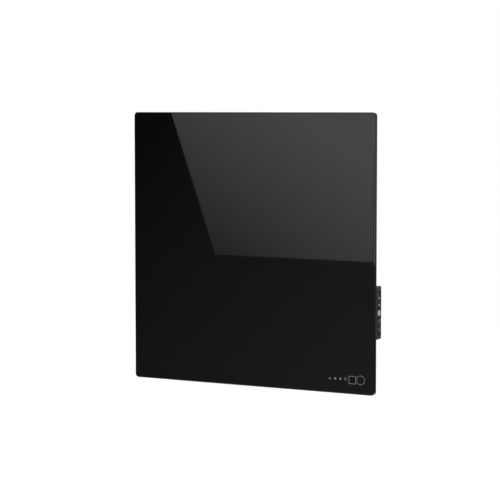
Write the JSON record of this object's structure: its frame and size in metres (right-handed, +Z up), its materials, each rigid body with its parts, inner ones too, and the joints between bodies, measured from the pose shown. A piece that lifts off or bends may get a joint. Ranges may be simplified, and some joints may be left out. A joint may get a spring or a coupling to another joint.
{
  "type": "infrared panel heater",
  "caption": "Square wall-hung infrared heater: black glass front on a shallow steel tray, side control box with rocker switch and round buttons, keyhole rails on wall rails.",
  "frame": {"origin": "centre of the four wall screws, on the wall plane, which is also the centre of the panel", "axes": "+X to the right as seen from the room, +Y into the wall, +Z up; the glass faces -Y"},
  "size_m": [0.6005, 0.037, 0.6],
  "materials": {
    "black_glass": "polished, painted black behind",
    "silicone": "satin",
    "carbon_film": "matte",
    "copper": "rolled",
    "insulation": "fibrous",
    "painted_steel": "fine textured powder coat",
    "rivet_aluminium": "satin",
    "zinc_steel": "zinc plated",
    "housing_plastic": "fine spark texture",
    "strip_plastic": "gloss",
    "switch_plastic": "satin",
    "rocker_plastic": "gloss",
    "brass_tabs": "bright",
    "button_plastic": "satin",
    "mint_button": "translucent satin",
    "plunger_plastic": "satin",
    "circuit_board": "solder mask",
    "capacitor_plastic": "satin",
    "fuse_glass": "clear",
    "terminal_plastic": "satin",
    "gland_plastic": "satin",
    "seal_rubber": "matte",
    "cutout_metal": "drawn cup"
  },
  "bodies": {
    "wall_rails": {"wall_rail_upper": "zinc_steel", "wall_rail_lower": "zinc_steel", "hanger_studs": "zinc_steel"},
    "heater": {"front_glass": "black_glass", "rim_bond": "silicone", "heating_film": "carbon_film", "busbars": "copper", "insulation_board": "insulation", "back_tray": "painted_steel", "hanger_rail_left": "painted_steel", "hanger_rail_right": "painted_steel", "rail_rivets": "rivet_aluminium", "base_rivets": "rivet_aluminium", "control_base": "housing_plastic", "control_cover": "housing_plastic", "cover_screws": "zinc_steel", "control_strip": "strip_plastic", "switch_body": "switch_plastic", "switch_tabs": "brass_tabs", "tact_switches": "switch_plastic", "button_board": "circuit_board", "button_board_screws": "zinc_steel", "main_board": "circuit_board", "board_screws": "zinc_steel", "power_relay": "switch_plastic", "supply_module": "switch_plastic", "filter_capacitor": "capacitor_plastic", "control_chip": "switch_plastic", "board_fuse": "fuse_glass", "mains_terminals": "terminal_plastic", "film_terminals": "terminal_plastic", "gland_body": "gland_plastic", "gland_seal": "seal_rubber", "gland_cap": "gland_plastic", "gland_nut": "gland_plastic", "lead_grommet": "seal_rubber", "thermal_cutout": "cutout_metal", "earth_stud": "zinc_steel", "earth_washer": "brass_tabs", "earth_nut": "zinc_steel"},
    "rocker": {"rocker": "rocker_plastic"},
    "menu_key": {"menu_button": "button_plastic", "menu_plunger": "plunger_plastic"},
    "mode_key": {"mode_button": "mint_button", "mode_plunger": "plunger_plastic"},
    "plus_key": {"plus_button": "button_plastic", "plus_plunger": "plunger_plastic"},
    "minus_key": {"minus_button": "button_plastic", "minus_plunger": "plunger_plastic"}
  },
  "joints": [
    {"name": "heater_lift", "type": "slide", "parent": "wall_rails", "child": "heater", "axis": [0, 0, 1], "range_m": [0, 0.014]},
    {"name": "rocker_tilt", "type": "hinge", "parent": "heater", "child": "rocker", "pos_m": [0.295, -0.013, -0.0894], "axis": [0, 1, 0], "range_deg": [0, 14]},
    {"name": "menu_press", "type": "slide", "parent": "heater", "child": "menu_key", "axis": [-1, 0, 0], "range_m": [0, 0.001], "stiffness_N_per_m": 800, "springref_m": -0.001},
    {"name": "mode_press", "type": "slide", "parent": "heater", "child": "mode_key", "axis": [-1, 0, 0], "range_m": [0, 0.001], "stiffness_N_per_m": 800, "springref_m": -0.001},
    {"name": "plus_press", "type": "slide", "parent": "heater", "child": "plus_key", "axis": [-1, 0, 0], "range_m": [0, 0.001], "stiffness_N_per_m": 800, "springref_m": -0.001},
    {"name": "minus_press", "type": "slide", "parent": "heater", "child": "minus_key", "axis": [-1, 0, 0], "range_m": [0, 0.001], "stiffness_N_per_m": 800, "springref_m": -0.001}
  ]
}
